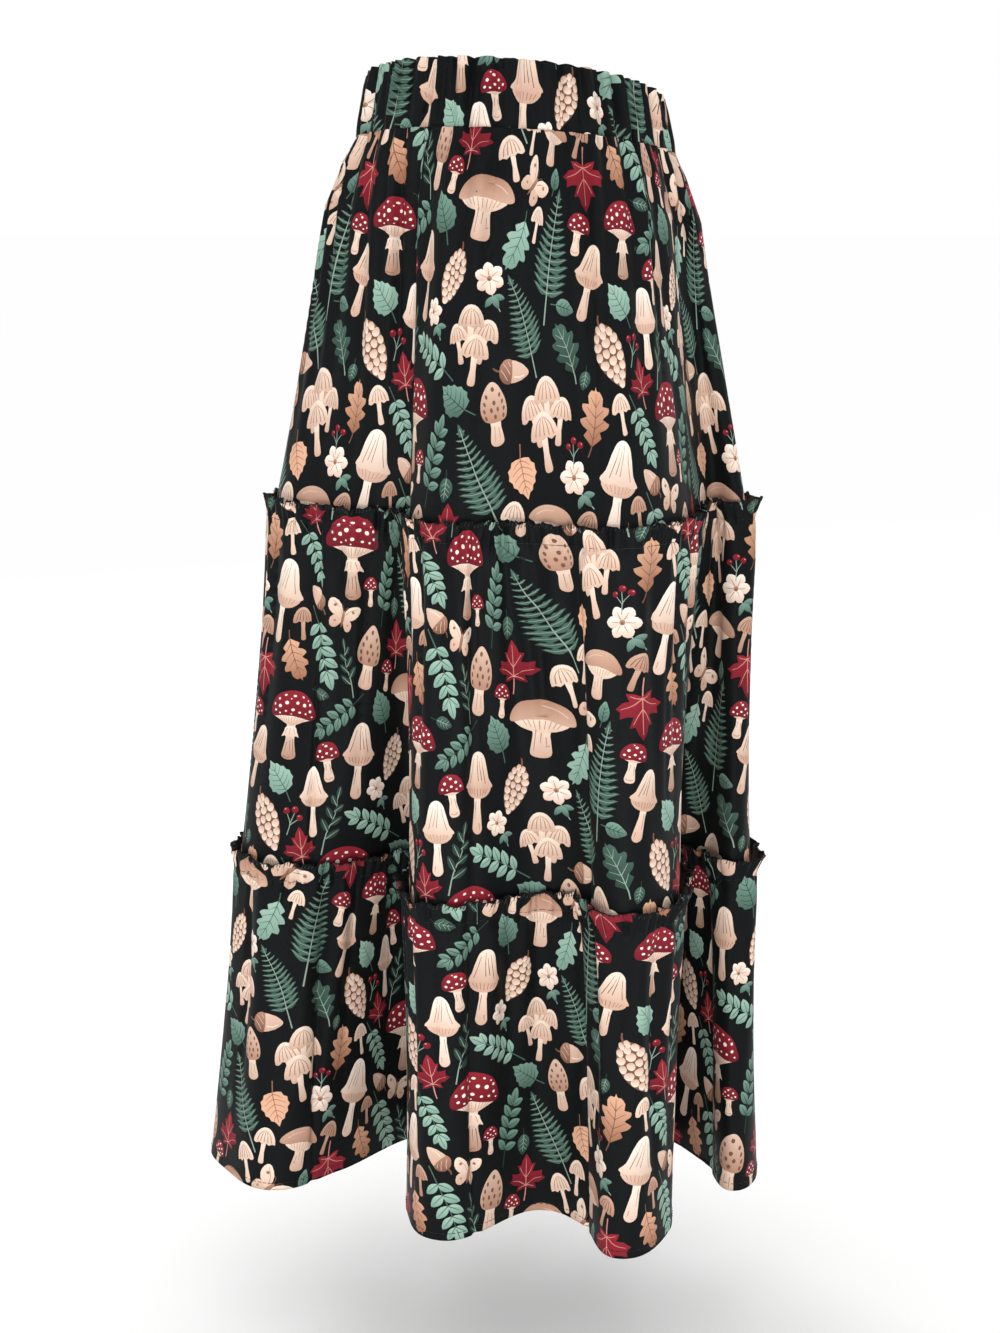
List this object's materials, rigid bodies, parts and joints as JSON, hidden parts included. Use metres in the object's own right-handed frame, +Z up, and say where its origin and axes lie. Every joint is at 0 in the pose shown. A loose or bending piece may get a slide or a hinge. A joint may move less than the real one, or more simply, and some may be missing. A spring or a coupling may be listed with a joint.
{
  "type": "tiered ruffle skirt",
  "caption": "Maxi skirt in gathered tiers with raw ruffle headers, an elasticated waistband and a small tossed print of toadstools, ferns and leaves, worn and hollow.",
  "frame": {"origin": "middle of the waist opening, at the mean height of the waistband's top edge", "axes": "+Z up through the waist opening, the skirt's front faces -Y, +X to the right of the front view"},
  "size_m": [0.4825, 0.411, 0.9414],
  "materials": {
    "printed_cloth": "smooth light woven cloth, near-black charcoal with a tossed print, faint sheen"
  },
  "bodies": {
    "root": {"waistband": "printed_cloth", "upper_tier_front": "printed_cloth", "upper_tier_back": "printed_cloth", "middle_tier_front": "printed_cloth", "middle_tier_back": "printed_cloth", "lower_tier_front": "printed_cloth", "lower_tier_back": "printed_cloth"}
  },
  "joints": []
}
